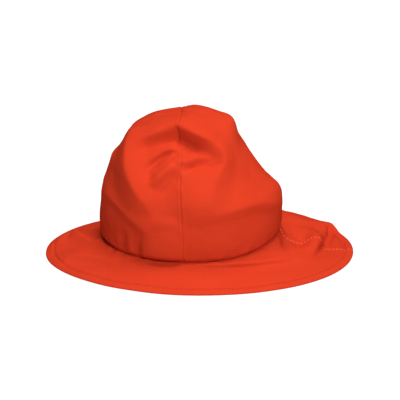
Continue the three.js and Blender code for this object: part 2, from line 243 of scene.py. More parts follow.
# Crown: way up the cloth, height as a share, then reaches to front, back and side as shares of the foot's
crownRows = [
    (0, 0, 0.96, 0.97, 0.965),
    (0.034, 0.035, 0.995, 0.995, 1),
    (0.116, 0.15, 1.005, 1.002, 1.018),
    (0.23, 0.3, 0.985, 0.975, 1.005),
    (0.285, 0.37, 0.965, 0.945, 0.98),
    (0.344, 0.45, 0.945, 0.85, 0.95),
    (0.464, 0.6, 0.86, 0.725, 0.86),
    (0.598, 0.75, 0.735, 0.62, 0.72),
    (0.707, 0.87, 0.585, 0.54, 0.56),
    (0.782, 0.93, 0.455, 0.46, 0.44),
    (0.865, 0.975, 0.28, 0.31, 0.29),
    (1, 1, 0, 0, 0),
]
# Brim: angle, then its height on the way from the join to the rim as shares of the join's height
brimPlaces = (0, 0.12, 0.3, 0.5, 0.7, 0.88, 1)
brimRows = [
    (0, 1, 0.55, 0.45, 0.5, 0.14, 0.12, 0.08),
    (20, 1, 0.8, 0.62, 0.5, 0.3, 0.18, 0.12),
    (27, 1, 0.98, 0.85, 0.75, 0.58, 0.47, 0.38),
    (34, 1, 1.04, 0.99, 0.86, 0.62, 0.44, 0.3),
    (50, 1, 1.09, 1.1, 1, 0.74, 0.5, 0.32),
    (68, 1, 1, 0.88, 0.68, 0.46, 0.26, 0.12),
    (90, 1, 0.87, 0.68, 0.48, 0.29, 0.12, 0),
    (180, 1, 0.86, 0.66, 0.46, 0.28, 0.11, 0),
    (220, 1, 0.86, 0.68, 0.5, 0.33, 0.17, 0.08),
    (248, 1, 0.86, 0.68, 0.49, 0.31, 0.14, 0.05),
    (270, 1, 0.86, 0.66, 0.46, 0.28, 0.11, 0),
    (310, 1, 0.82, 0.6, 0.42, 0.27, 0.11, 0),
    (340, 1, 0.7, 0.52, 0.38, 0.22, 0.11, 0.02),
]
reach = {
    "front": sizes["openingLength"] / 2 + sizes["openingForward"] - sizes["seamForward"],
    "back": sizes["openingLength"] / 2 - sizes["openingForward"] + sizes["seamForward"],
    "side": sizes["openingWidth"] / 2,
    "rimFront": sizes["brimLength"] / 2 - sizes["seamForward"],
    "rimBack": sizes["brimLength"] / 2 + sizes["seamForward"],
    "rimSide": sizes["brimWidth"] / 2,
}


def curveThrough(places, values, at):
    # Smooth curve that never overshoots its points; values may hold one column for each point of at
    places = np.asarray(places, float)
    at = np.asarray(at, float)
    values = np.asarray(values, float)
    if values.ndim == 1:
        values = np.repeat(values[:, None], at.size, axis=1)
    span = np.diff(places)[:, None]
    slope = np.diff(values, axis=0) / span
    inner = slope[:-1] * slope[1:]
    mean = np.where(inner > 0, 2 * inner / np.where(inner > 0, slope[:-1] + slope[1:], 1), 0)
    tangent = np.vstack([slope[:1], mean, slope[-1:]])
    flat = at.ravel()
    i = np.clip(np.searchsorted(places, flat, side="right") - 1, 0, len(places) - 2)
    column = np.arange(flat.size)
    h = span[i, 0]
    t = (flat - places[i]) / h
    low, high = values[i, column], values[i + 1, column]
    start, end = h * tangent[i, column], h * tangent[i + 1, column]
    rise = high - low
    curve = low + t * (start + t * (3 * rise - 2 * start - end + t * (start + end - 2 * rise)))
    return curve.reshape(at.shape)


def ring(angle, front, back, side):
    half = (front + back) / 2
    shift = (back - front) / 2
    lean = np.arcsin(np.where(half > 1e-6, shift / np.maximum(half, 1e-6), 0))
    turn = angle + lean * np.sin(angle)
    return np.stack([shift - sizes["seamForward"] + half * np.cos(turn), side * np.sin(turn), 0 * turn], -1)


def joinHeight(angle):
    along = np.cos(angle)
    end = np.where(along > 0, sizes["joinBack"], sizes["joinFront"])
    return sizes["joinSide"] + (end - sizes["joinSide"]) * along ** 4


def crownPlain(angle, level):
    level = np.clip(level, 0, 1)
    columns = list(zip(*crownRows))
    rise, front, back, side = (curveThrough(columns[0], columns[k], level) for k in (1, 2, 3, 4))
    point = ring(angle, reach["front"] * front, reach["back"] * back, reach["side"] * side)
    foot = joinHeight(angle)
    point[..., 2] = foot + rise * (sizes["crownTop"] - foot)
    return point


def brimPlain(angle, across):
    shape = np.shape(angle)
    degrees = np.degrees(np.ravel(angle)) % 360
    places = [row[0] + turn for turn in (-360, 0, 360) for row in brimRows]
    columns = [[row[k] for _ in range(3) for row in brimRows] for k in range(1, 8)]
    shares = [curveThrough(places, column, degrees) for column in columns]
    share = curveThrough(brimPlaces, np.array(shares), np.ravel(across)).reshape(shape)
    inner = crownPlain(angle, np.zeros(shape))
    outer = ring(angle, reach["rimFront"], reach["rimBack"], reach["rimSide"])
    point = inner + (outer - inner) * np.asarray(across)[..., None]
    drop = joinHeight(angle) - sizes["joinGap"] - sizes["hemThickness"]
    point[..., 2] = sizes["hemThickness"] + drop * share
    return point


def normalOf(surface, facing, angle, level):
    step = 1e-3
    round_ = surface(angle + step, level) - surface(angle - step, level)
    along = surface(angle, np.minimum(level + step, 1)) - surface(angle, np.maximum(level - step, 0))
    normal = facing * np.cross(round_, along)
    return normal / np.maximum(np.linalg.norm(normal, axis=-1, keepdims=True), 1e-9)


# Folds and dents

# Each path runs through (angle, level, mm that the fold stands out there, less than 0 in a dent).
# Left and right are the widths of its flanks in mm, seen from outside along the path;
# crest is how round it is at the top, as a share of a flank; lean bends the fold over its right flank.
crownFolds = [
    {"name": "arch", "left": 30, "right": 7, "crest": 0.03, "lean": 0.5,
     "path": [(212, 0.64, 0), (218, 0.688, 2), (228, 0.725, 4), (240.5, 0.77, 5.6), (254, 0.805, 6.8),
              (265.5, 0.823, 7.2), (274, 0.804, 7.5), (281, 0.782, 8), (288, 0.759, 7.5),
              (295, 0.732, 5.5), (301, 0.704, 3), (306, 0.677, 0)]},
    {"name": "arch leg", "left": 18, "right": 11, "crest": 0.04,
     "path": [(288, 0.752, 0), (295, 0.727, 2), (301, 0.702, 4), (306, 0.675, 6), (310, 0.63, 7.2),
              (310.5, 0.6, 7), (309, 0.573, 6.4), (305, 0.537, 5.4), (298, 0.475, 4.2),
              (292.8, 0.422, 3.2), (289.5, 0.352, 2), (288.5, 0.29, 0)]},
    {"name": "dent", "left": 7, "right": 24, "crest": 0.12,
     "path": [(216, 0.52, 0), (220, 0.57, -1), (222, 0.61, -2.5), (228, 0.657, -5.5), (238, 0.712, -8),
              (249, 0.762, -10.5), (260, 0.786, -12), (270, 0.772, -13), (278, 0.74, -13),
              (286, 0.7, -11.5), (293, 0.662, -8), (299, 0.63, -5), (303, 0.595, -2), (303, 0.55, 0)]},
    {"name": "left edge", "left": 28, "right": 18, "crest": 0.04,
     "path": [(254, 0.18, 0), (252, 0.24, 3), (249.5, 0.297, 6), (245.2, 0.345, 9), (240.8, 0.372, 11),
              (234.2, 0.422, 12), (227.5, 0.473, 12), (220.3, 0.535, 11.5), (216, 0.578, 11),
              (210.5, 0.625, 10), (204, 0.665, 8), (198, 0.7, 5), (190, 0.74, 0)]},
    {"name": "arc pleat", "left": 3.5, "right": 9, "crest": 0.15,
     "path": [(243, 0.45, 0), (239, 0.503, -3.4), (238.2, 0.547, -5.4), (242, 0.588, -7),
              (247.5, 0.625, -7.2), (253.8, 0.647, -6.2), (260.5, 0.657, -4.2), (268.5, 0.655, 0)]},
    {"name": "arc streak", "left": 2, "right": 2, "crest": 0.3,
     "path": [(256, 0.61, 0), (260, 0.625, -1.4), (265, 0.637, -1.4), (268, 0.642, 0)]},
    {"name": "short pleat crest", "left": 6, "right": 6, "crest": 0.3,
     "path": [(246.8, 0.43, 0), (249, 0.475, 4.6), (254, 0.52, 5.4), (260, 0.565, 4.2),
              (262.8, 0.593, 0)]},
    {"name": "short pleat", "left": 5, "right": 5, "crest": 0.2,
     "path": [(253, 0.4, 0), (258, 0.425, -1.8), (262, 0.465, -2.8), (266, 0.515, -3), (269, 0.56, 0)]},
    {"name": "step", "left": 8, "right": 6, "crest": 0.15,
     "path": [(255, 0.583, 0), (262.8, 0.598, 1.2), (271.5, 0.6, 3), (278, 0.61, 3.6), (285, 0.633, 3.6),
              (294, 0.62, 1.8), (302, 0.598, 0)]},
    {"name": "band", "left": 8, "right": 4, "crest": 0.2,
     "path": [(268.8, 0.54, 0), (273, 0.547, -2), (279.8, 0.56, -4), (287.8, 0.568, -4.6),
              (297.8, 0.562, -4.6), (304.5, 0.56, -3), (309, 0.562, 0)]},
    {"name": "plateau", "left": 20, "right": 18, "crest": 0.5,
     "path": [(296, 0.54, 0), (292, 0.46, 3.4), (285, 0.37, 5.4), (280, 0.31, 4), (276, 0.23, 0)]},
    {"name": "front hollow", "left": 14, "right": 10, "crest": 0.4,
     "path": [(160, 0.44, 0), (185, 0.4, -0.8), (207, 0.37, -1.2), (224, 0.343, -1.5),
              (234, 0.305, -1.5), (243, 0.26, 0)]},
    {"name": "front crest", "left": 24, "right": 9, "crest": 0.08,
     "path": [(168, 0.26, 0), (188, 0.285, 2.5), (201, 0.3, 3.2), (212.5, 0.297, 4), (224, 0.275, 4.6),
              (234, 0.242, 5), (242.5, 0.21, 4), (247, 0.185, 3.5), (252, 0.155, 0)]},
    {"name": "front low hollow", "left": 12, "right": 12, "crest": 0.5,
     "path": [(172, 0.12, 0), (194.5, 0.115, -1), (213.5, 0.105, -2), (226.5, 0.105, -2),
              (237, 0.1, -1.4), (248, 0.08, 0)]},
    {"name": "low bulge", "left": 46, "right": 12, "crest": 0.1,
     "path": [(236, 0.02, 0), (246, 0.025, 3.6), (258, 0.03, 5.4), (267, 0.03, 4), (274, 0.03, 0)]},
    {"name": "right crest", "left": 26, "right": 9, "crest": 0.15,
     "path": [(268, 0.255, 0), (280.8, 0.283, 2.4), (296, 0.288, 4.4), (313.8, 0.297, 5.4),
              (323, 0.29, 5.6), (333.8, 0.258, 5), (345, 0.208, 4), (358, 0.16, 0)]},
    {"name": "front shoulder", "left": 12, "right": 10, "crest": 0.2,
     "path": [(120, 0.74, 0), (145, 0.72, 1.4), (168, 0.7, 2), (190, 0.69, 1.4), (208, 0.68, 0)]},
    {"name": "front flat", "left": 10, "right": 10, "crest": 0.5,
     "path": [(130, 0.62, 0), (160, 0.6, -0.8), (185, 0.6, -0.8), (200, 0.6, 0)]},
    {"name": "front knee", "left": 10, "right": 14, "crest": 0.2,
     "path": [(125, 0.5, 0), (150, 0.5, 1.4), (172, 0.49, 2), (192, 0.49, 1.2), (206, 0.5, 0)]},
    {"name": "back corner", "left": 12, "right": 10, "crest": 0.15,
     "path": [(330, 0.78, 0), (350, 0.765, 3), (375, 0.76, 3.6), (400, 0.76, 2), (420, 0.77, 0)]},
    {"name": "back flat", "left": 12, "right": 12, "crest": 0.5,
     "path": [(330, 0.62, 0), (350, 0.6, -2.4), (375, 0.6, -2.4), (400, 0.62, 0)]},
    {"name": "back shoulder", "left": 12, "right": 12, "crest": 0.5,
     "path": [(336, 0.44, 0), (345, 0.38, 2.4), (354, 0.3, 3), (358, 0.21, 1.8), (359, 0.15, 0)]},
    {"name": "top lobe", "left": 19, "right": 15, "crest": 0.5,
     "path": [(275, 0.92, 0), (300, 0.92, 2.8), (340, 0.93, 3.2), (380, 0.9, 4), (420, 0.87, 3.2),
              (445, 0.84, 0)]},
    {"name": "right hollow", "left": 32, "right": 24, "crest": 0.3,
     "path": [(52, 0.66, 0), (72, 0.6, -6.4), (95, 0.53, -8), (120, 0.56, -6.4), (140, 0.6, 0)]},
    {"name": "right ridge", "left": 22, "right": 10, "crest": 0.2,
     "path": [(48, 0.74, 0), (66, 0.71, 3.6), (92, 0.68, 4), (124, 0.7, 3.6), (146, 0.72, 0)]},
    {"name": "right low crease", "left": 16, "right": 10, "crest": 0.2,
     "path": [(34, 0.2, 0), (52, 0.26, -3.5), (80, 0.29, -3.5), (104, 0.25, -2.8), (128, 0.29, 0)]},
    {"name": "front pleat", "left": 9, "right": 14, "crest": 0.2,
     "path": [(146, 0.7, 0), (156, 0.6, -3), (161, 0.48, -3), (157, 0.34, 0)]},
    {"name": "back pleat", "left": 16, "right": 9, "crest": 0.2,
     "path": [(14, 0.74, 0), (24, 0.62, 3), (28, 0.48, 3), (20, 0.36, 0)]},
    {"name": "gather one", "left": 5, "right": 6, "crest": 0.4,
     "path": [(227, 0.17, 0), (225.5, 0.1, -1.5), (224, 0.03, -1.5), (223, -0.05, -1.5)]},
    {"name": "gather two", "left": 5, "right": 5, "crest": 0.4,
     "path": [(233.5, 0.13, 0), (233, 0.06, 1), (232.5, -0.05, 1)]},
    {"name": "gather three", "left": 5, "right": 8, "crest": 0.3,
     "path": [(242, 0.16, 0), (240.5, 0.1, -1.8), (240, 0.04, -2.1), (239.5, -0.05, -2.1)]},
]
brimFolds = [
    {"name": "near roll", "left": 8, "right": 2.5, "crest": 0.1, "lean": 0.4,
     "path": [(268, 0.05, 0), (276, 0.07, 1.6), (288, 0.09, 3), (300, 0.14, 3.8), (310, 0.2, 3.8),
              (320, 0.27, 3), (330, 0.36, 1.8), (338, 0.44, 0)]},
    {"name": "near valley", "left": 8, "right": 14, "crest": 0.3,
     "path": [(270, 0.14, 0), (284, 0.17, -1.6), (300, 0.24, -2), (316, 0.34, -2), (328, 0.46, -1),
              (336, 0.54, 0)]},
    {"name": "front upper ridge", "left": 5, "right": 12, "crest": 0.08,
     "path": [(176, 0.9, 0), (166, 0.8, 3), (160, 0.68, 5.4), (162, 0.56, 6.4), (170, 0.42, 6),
              (180, 0.28, 4), (192, 0.14, 0)]},
    {"name": "front lower ridge", "left": 6, "right": 6, "crest": 0.2,
     "path": [(189, 0.86, 0), (196, 0.7, 2), (206, 0.48, 2.6), (219, 0.33, 1.9), (232, 0.2, 0)]},
    {"name": "front hollow", "left": 8, "right": 8, "crest": 0.5,
     "path": [(202, 0.82, 0), (210, 0.68, -2.2), (222, 0.47, -2.2), (236, 0.3, 0)]},
    {"name": "back tuck", "left": 7, "right": 3.5, "crest": 0.15,
     "path": [(28, 1, 0), (20, 0.84, -4.8), (11, 0.68, -6), (-1, 0.61, -6), (-12, 0.58, -4.8),
              (-20, 0.56, 0)]},
    {"name": "back lump", "left": 9, "right": 9, "crest": 0.5,
     "path": [(16, 0.6, 0), (8, 0.53, 2.7), (0, 0.5, 3.4), (-8, 0.46, 2.4), (-16, 0.42, 0)]},
    {"name": "back dip", "left": 9, "right": 9, "crest": 0.5,
     "path": [(20, 0.36, 0), (8, 0.32, -1.9), (0, 0.31, -2.4), (-7, 0.3, -1.7), (-14, 0.28, 0)]},
    {"name": "back dimple", "left": 5, "right": 5, "crest": 0.4,
     "path": [(0, 0.02, 0), (-8, 0.08, -3.2), (-16, 0.14, -3.2), (-23, 0.2, 0)]},
    {"name": "edge crease", "left": 3, "right": 3, "crest": 0.3,
     "path": [(14, 0.9, 0), (6, 0.88, -1.6), (0, 0.88, -1.6), (-4, 0.9, 0)]},
    {"name": "far wave", "left": 16, "right": 10, "crest": 0.3,
     "path": [(76, 0.9, 0), (92, 0.66, 4), (112, 0.5, 4), (132, 0.36, 0)]},
    {"name": "far crease", "left": 7, "right": 12, "crest": 0.2,
     "path": [(118, 0.9, 0), (126, 0.7, -3), (140, 0.5, -3), (156, 0.34, 0)]},
]
foldLook = {
    "steps": 3,                # from one point of a path to the next
    "foot": 0.2,               # how softly a flank ends, as a share of it
    "cut": 3.2,                # flanks away from the crest, past which a fold does nothing
    "crownFoot": 0.05,         # shares of the way over which the folds begin at an edge of the cloth
    "brimJoin": 0.1,
    "brimRim": 0.1,
    "blend": 0.5,              # how far one round of smoothing goes
    "crestRounds": 4,          # of smoothing, over the crests that get the painted highlight
}


def smooth(x, low, high):
    t = np.clip((x - low) / (high - low), 0, 1)
    return t * t * (3 - 2 * t)


def splineThrough(points, steps):
    # Catmull-Rom curve through a path, with the same number of steps in each span
    p = np.vstack([2 * points[0] - points[1], points, 2 * points[-1] - points[-2]])
    t = np.linspace(0, 1, steps, endpoint=False)[:, None]
    line = []
    for i in range(len(points) - 1):
        a, b, c, d = p[i : i + 4]
        square, cube = 2 * a - 5 * b + 4 * c - d, 3 * b - a - 3 * c + d
        line.append(0.5 * (2 * b + (c - a) * t + square * t**2 + cube * t**3))
    return np.vstack(line + [points[-1:]])


def wave(distance, width):
    return np.exp(-((distance / width) ** 2))


def layFolds(folds, surface):
    for fold in folds:
        line = splineThrough(np.array(fold["path"], float), foldLook["steps"])
        fold["laid"] = surface(np.radians(line[:, 0]), line[:, 1])
        fold["height"] = line[:, 2]


def foldSection(offset, crest):
    # Straight flanks with a tight crest and a soft foot, down to nothing at the cut
    def raw(x):
        fall = 1 + crest - np.hypot(x, crest)
        return (fall + np.hypot(fall, foldLook["foot"])) / 2
    end = raw(foldLook["cut"])
    return np.clip((raw(offset) - end) / (raw(0) - end), 0, 1)


def foldMove(point, normal, folds):
    move = np.zeros_like(point)
    for fold in folds:
        laid, tall = fold["laid"], fold["height"]
        width = foldLook["cut"] * max(fold["left"], fold["right"])
        close = ((point > laid.min(0) - width) & (point < laid.max(0) + width)).all(-1)
        p, n = point[close], normal[close]
        nearest = np.full(len(p), np.inf)
        height = np.zeros(len(p))
        side = np.ones(len(p))
        left = np.zeros_like(p)
        for i in range(len(laid) - 1):
            run = laid[i + 1] - laid[i]
            away = p - laid[i]
            part = np.clip(away @ run / (run @ run), 0, 1)
            away = away - part[:, None] * run
            gap = np.linalg.norm(away, axis=1)
            nearer = gap < nearest
            nearest[nearer] = gap[nearer]
            height[nearer] = (tall[i] + part * (tall[i + 1] - tall[i]))[nearer]
            side[nearer] = (np.cross(run, away) * n).sum(1)[nearer]
            left[nearer] = np.cross(n[nearer], run / np.linalg.norm(run))
        section = foldSection(nearest / np.where(side > 0, fold["left"], fold["right"]), fold["crest"])
        move[close] += (height * section)[:, None] * (n - fold.get("lean", 0) * section[:, None] * left)
    return move


def ripple(point, size, seed, count=14):
    # Even, unhurried unevenness in space, about size mm from crest to crest and about 1 mm high
    chance = np.random.default_rng(seed)
    ways = chance.normal(size=(count, 3))
    ways /= np.linalg.norm(ways, axis=1, keepdims=True)
    phase = chance.uniform(0, 2 * math.pi, count)
    return np.sin(point @ ways.T * (2 * math.pi / size) + phase).sum(-1) / math.sqrt(count / 2)


layFolds(crownFolds, crownPlain)
layFolds(brimFolds, brimPlain)
print("folds laid:", len(crownFolds), "on the crown,", len(brimFolds), "on the brim")


# Meshes of cloth

def smoothOver(values, faces, count, rounds):
    # Spreads values over a mesh, each point towards the mean of its neighbours
    start = np.concatenate([faces[:, k] for k in (0, 1, 2, 1, 2, 0)])
    end = np.concatenate([faces[:, k] for k in (1, 2, 0, 0, 1, 2)])
    hits = np.bincount(start, minlength=count)
    for _ in range(rounds):
        mean = np.stack([np.bincount(start, column[end], count) for column in values.T], 1) / hits[:, None]
        values = values + foldLook["blend"] * (mean - values)
    return values


def pointNormals(points, faces):
    flat = np.cross(points[faces[:, 1]] - points[faces[:, 0]], points[faces[:, 2]] - points[faces[:, 0]])
    sums = [[np.bincount(faces[:, k], column, len(points)) for column in flat.T] for k in range(3)]
    normal = sum(np.stack(columns, 1) for columns in sums)
    return normal / np.maximum(np.linalg.norm(normal, axis=1, keepdims=True), 1e-12)


def crestsOf(points, normal, faces):
    # How sharply the surface is folded outwards at each point, in 1/mm
    start = np.concatenate([faces[:, k] for k in (0, 1, 2)])
    end = np.concatenate([faces[:, k] for k in (1, 2, 0)])
    gap = points[start] - points[end]
    bend = (gap * normal[start]).sum(1) / np.maximum((gap * gap).sum(1), 1e-6)
    crest = np.bincount(start, bend, len(points)) / np.bincount(start, minlength=len(points))
    return smoothOver(crest[:, None], faces, len(points), foldLook["crestRounds"])[:, 0]


def meshFrom(name, points, faces, uv):
    data = bpy.data.meshes.new(name)
    data.from_pydata((points * metre).tolist(), [], faces)
    layer = data.uv_layers.new(name="cloth")
    corners = np.empty(len(data.loops), np.int32)
    data.loops.foreach_get("vertex_index", corners)
    layer.data.foreach_set("uv", uv[corners].astype(np.float32).ravel())
    data.materials.append(clothMaterial)
    data.shade_smooth()
    return data


# Stores how much painted highlight each point gets
def keepCrestHighlight(data, value):
    attribute = data.attributes.new("crestHighlight", "FLOAT", "POINT")
    attribute.data.foreach_set("value", value)


def finish(piece, node):
    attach(piece, "root")
    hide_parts(node)


# Crown: four panels of cloth sewn together, with their tips meeting on top

crownLook = {
    "rows": 190,
    "seamCrowd": 0.7,          # how much the mesh crowds towards the seams
    "clothLength": 222,        # mm up the cloth from foot to tip
    "smoothing": 2,            # rounds, which take the kinks out of crossing folds
    "seamDepth": 0.22, "seamWidth": 0.6,                      # mm, the valley where two panels meet
    "lipHeight": 0.32, "lipPlace": 2.2, "lipWidth": 1.5,      # mm, the turned allowance beside it
    "pucker": 0.2, "puckerLength": 12, "puckerReach": 5,      # mm, small gathers at the seams
    "uneven": 0.3, "unevenSize": 48,                          # mm, what handling leaves
    "fine": 0.05, "fineSize": 14,
    "footGather": 0.35, "footGatherLength": 13, "footGatherReach": 9,       # mm
    "moveFade": 0.02, "unevenFade": 0.12, "gatherFade": 0.01,     # shares of the way up from the foot
    "tipFade": 0.02,           # share of the way down from the tip
    "tipStep": 0.02,           # mm between the tips of two panels, so that none touch
    "highlightFrom": 0.1, "highlightRange": 0.35,                   # 1/mm, folds this sharp get the painted highlight
    "seeds": {"uneven": 3, "fine": 4, "pucker": 5, "foot": 6},
}
# How far the seam on the wearer's left wanders off its plane: level, degrees
leftSeamDrift = [
    (0, 1.6), (0.15, 0.9), (0.3, 0), (0.45, -1), (0.6, -0.2),
    (0.7, -1), (0.78, -4), (0.88, -3), (1, 0),
]
panels = [
    {"name": "crown_panel_back_right", "start": 0},
    {"name": "crown_panel_front_right", "start": 90},
    {"name": "crown_panel_front_left", "start": 180},
    {"name": "crown_panel_back_left", "start": 270},
]


def seamAngle(degrees, level):
    drift = curveThrough(*zip(*leftSeamDrift), level) if degrees == 270 else 0 * level
    return np.radians(degrees + drift)


def panelGrid(start, rows):
    # Rows of points from the tip of a panel to its foot, one more in each row
    row = np.concatenate([np.full(r + 1, r) for r in range(rows + 1)])
    column = np.concatenate([np.arange(r + 1) for r in range(rows + 1)])
    share = np.where(row > 0, column / np.maximum(row, 1), 0.5)
    share = share - crownLook["seamCrowd"] * np.sin(2 * math.pi * share) / (2 * math.pi)
    level = 1 - row / rows
    first, last = seamAngle(start, level), seamAngle(start + 90 if start < 270 else 360, level)
    angle = first + (last - first) * share
    plain = crownPlain(angle, level)
    toFirst = np.linalg.norm(plain - crownPlain(first, level), axis=1)
    toLast = np.linalg.norm(plain - crownPlain(last, level), axis=1)
    return angle, level, toFirst, toLast


def panelFaces(rows):
    faces = []
    for r in range(rows):
        a, b = r * (r + 1) // 2, (r + 1) * (r + 2) // 2
        for c in range(r + 1):
            faces.append((a + c, b + c, b + c + 1))
            if c < r:
                faces.append((a + c, b + c + 1, a + c + 1))
    return np.array(faces)


def panelEdges(rows, count):
    # Joins the outer and the inner face of a panel along both seams and the foot
    left = [r * (r + 1) // 2 for r in range(rows + 1)]
    right = [r * (r + 1) // 2 + r for r in range(rows + 1)]
    foot = [rows * (rows + 1) // 2 + c for c in range(rows + 1)]
    edges = []
    for line, turned in ((left, False), (right, True), (foot, False)):
        for a, b in zip(line[:-1], line[1:]):
            edges.append((a, b, b + count, a + count) if turned else (a, a + count, b + count, b))
    return edges


def crownRelief(point, level, seam):
    # Everything smaller than a fold, in mm along the outward normal
    look, seeds = crownLook, crownLook["seeds"]
    relief = look["uneven"] * ripple(point, look["unevenSize"], seeds["uneven"])
    relief += look["fine"] * ripple(point, look["fineSize"], seeds["fine"])
    relief *= smooth(level, 0, look["unevenFade"])
    sewn = look["lipHeight"] * wave(seam - look["lipPlace"], look["lipWidth"])
    sewn -= look["seamDepth"] * wave(seam, look["seamWidth"])
    pucker = look["pucker"] * ripple(point, look["puckerLength"], seeds["pucker"])
    sewn += pucker * np.exp(-seam / look["puckerReach"])
    relief += smooth(1 - level, 0, look["tipFade"]) * sewn
    gather = look["footGather"] * ripple(point, look["footGatherLength"], seeds["foot"])
    gather *= np.exp(-level * look["clothLength"] / look["footGatherReach"])
    return relief + gather * smooth(level, 0, look["gatherFade"])


def shapeCrown(angle, level, plain, seam, faces):
    # The outer and the inner face of the whole crown, and how much painted highlight each point gets
    look = crownLook
    upright = normalOf(crownPlain, 1, angle, level)
    upright[level >= 1] = (0, 0, 1)
    move = smooth(level, 0, foldLook["crownFoot"])[:, None] * foldMove(plain, upright, crownFolds)
    move = smoothOver(move, faces, len(plain), look["smoothing"])
    move *= smooth(level, 0, look["moveFade"])[:, None]
    folded = plain + move
    normal = pointNormals(folded, faces)
    # Painted highlight, stronger on the sharper crests
    crestHighlight = np.clip((crestsOf(folded, normal, faces) - look["highlightFrom"]) / look["highlightRange"], 0, 1)
    outer = folded + crownRelief(plain, level, seam)[:, None] * normal
    inner = outer - sizes["crownWall"] * pointNormals(outer, faces)
    return outer, inner, crestHighlight


def makeCrown():
    look = crownLook
    rows = look["rows"]
    faces = panelFaces(rows)
    count = (rows + 1) * (rows + 2) // 2
    grids = [panelGrid(panel["start"], rows) for panel in panels]
    angle, level, toFirst, toLast = (np.concatenate(column) for column in zip(*grids))
    seam = np.minimum(toFirst, toLast)
    plain = crownPlain(angle, level)
    # The panels share their points along the seams while the cloth is shaped
    _, first, shared = np.unique(np.round(plain, 3), axis=0, return_index=True, return_inverse=True)
    shared = shared.ravel()
    every = shared[np.concatenate([faces + k * count for k in range(len(panels))])]
    outer, inner, crestHighlight = shapeCrown(angle[first], level[first], plain[first], seam[first], every)
    inside = faces[:, ::-1] + count
    closed = faces.tolist() + inside.tolist() + panelEdges(rows, count)
    for k, panel in enumerate(panels):
        mine = shared[k * count : (k + 1) * count]
        # A hair's breadth is kept between the panels
        middle = (grids[k][0].min() + grids[k][0].max()) / 2
        aside = np.stack([np.cos(middle), np.sin(middle), 0]) * sizes["seamGap"] / math.sqrt(2)
        points = np.vstack([outer[mine], inner[mine]]) + aside
        points[[0, count], 2] -= look["tipStep"] * k
        uv = np.stack([grids[k][2], grids[k][1] * look["clothLength"]], 1)
        data = meshFrom(panel["name"], points, closed, np.vstack([uv, uv]))
        # The painted highlight goes on the outer face only
        keepCrestHighlight(data, np.concatenate([crestHighlight[mine], np.zeros(count)]))
        finish(place(data, panel["name"].replace("panel", "cloth")), panel["name"])


makeCrown()
print("crown made:", len(panels), "panels")


# Brim: one ring of cloth closed by a seam at the back, its edge turned under and stitched

brimLook = {
    "columns": 560,
    "rows": 52,
    "hemRows": 16,             # of them over the turned edge
    "hemRun": 3,               # mm inside the turned edge where they start
    "hemRootRow": 3,           # the one of them under which the turned edge ends
    "edgeTurn": (60, 30, 0, -30, -60, -90),       # degrees, from the upper face round to the under face
    "seamCrowd": 0.5,
    "smoothing": 2,
    "floorGap": 0.05,          # mm that the under face keeps above the floor
    "hemGroove": 0.7, "hemGrooveWidth": 1.3,      # mm, where the row of stitches pulls in
    "hemPuff": 0.35, "hemPuffWidth": 3,           # mm, the turned edge outside it
    "hemGather": 0.15, "hemGatherReach": 4, "puckerLength": 10,
    "joinGather": 0.5, "joinGatherLength": 12, "joinGatherReach": 6,
    "seamDepth": 0.9, "seamWidth": 1.0,
    "lipHeight": 0.7, "lipPlace": 2.6, "lipWidth": 1.6,
    "uneven": 0.4, "unevenSize": 50, "fine": 0.06, "fineSize": 15,
    "endFade": 0.03,           # share of the way across over which the small relief starts and ends
    "highlightFrom": 0.05, "highlightRange": 0.3,       # 1/mm, folds this sharp get the painted highlight
    "seeds": {"uneven": 13, "fine": 14, "hem": 15, "join": 16},
}


def brimOutwards(angle):
    # Level direction from the crown's foot to the rim, and how far apart they are
    gap = ring(angle, reach["rimFront"], reach["rimBack"], reach["rimSide"]) - crownPlain(angle, 0 * angle)
    gap[..., 2] = 0
    width = np.linalg.norm(gap, axis=-1)
    return gap / width[..., None], width


def gridFaces(rows, columns):
    at = np.arange(rows * columns).reshape(rows, columns)
    corners = at[:-1, :-1], at[1:, :-1], at[1:, 1:], at[:-1, 1:]
    return np.stack([c.ravel() for c in corners], 1)


def rowsAcross(width):
    # Rows of the upper face as shares of the way across, closer together over the turned edge
    look = brimLook
    hemLine = 1 - (sizes["hemWidth"] + look["hemRun"]) / width
    last = 1 - sizes["hemThickness"] / 2 / width
    inner = np.linspace(0, 1, look["rows"] - look["hemRows"], endpoint=False)[:, None] * hemLine
    outer = hemLine + np.linspace(0, 1, look["hemRows"])[:, None] * (last - hemLine)
    return np.vstack([inner, outer])


def awayFromEdges(across):
    return smooth(across, 0, foldLook["brimJoin"]) * smooth(1 - across, 0, foldLook["brimRim"])


def brimRelief(point, angle, across, width):
    # Everything smaller than a fold, in mm along the outward normal
    look, seeds = brimLook, brimLook["seeds"]
    relief = look["uneven"] * ripple(point, look["unevenSize"], seeds["uneven"])
    relief += look["fine"] * ripple(point, look["fineSize"], seeds["fine"])
    relief *= awayFromEdges(across)
    toRim = (1 - across) * width
    toStitches = toRim - sizes["hemWidth"]
    relief -= look["hemGroove"] * wave(toStitches, look["hemGrooveWidth"])
    relief += look["hemPuff"] * wave(toRim - sizes["hemWidth"] / 2, look["hemPuffWidth"])
    gather = look["hemGather"] * ripple(point, look["puckerLength"], seeds["hem"])
    relief += gather * wave(toStitches, look["hemGatherReach"])
    join = np.exp(-across * width / look["joinGatherReach"]) * smooth(across, 0, look["endFade"])
    relief += look["joinGather"] * ripple(point, look["joinGatherLength"], seeds["join"]) * join
    seam = np.where(np.cos(angle) > 0, np.abs(point[..., 1]), np.inf)
    sewn = look["lipHeight"] * wave(seam - look["lipPlace"], look["lipWidth"])
    sewn -= look["seamDepth"] * wave(seam, look["seamWidth"])
    return relief + smooth(1 - across, 0, look["endFade"]) * sewn


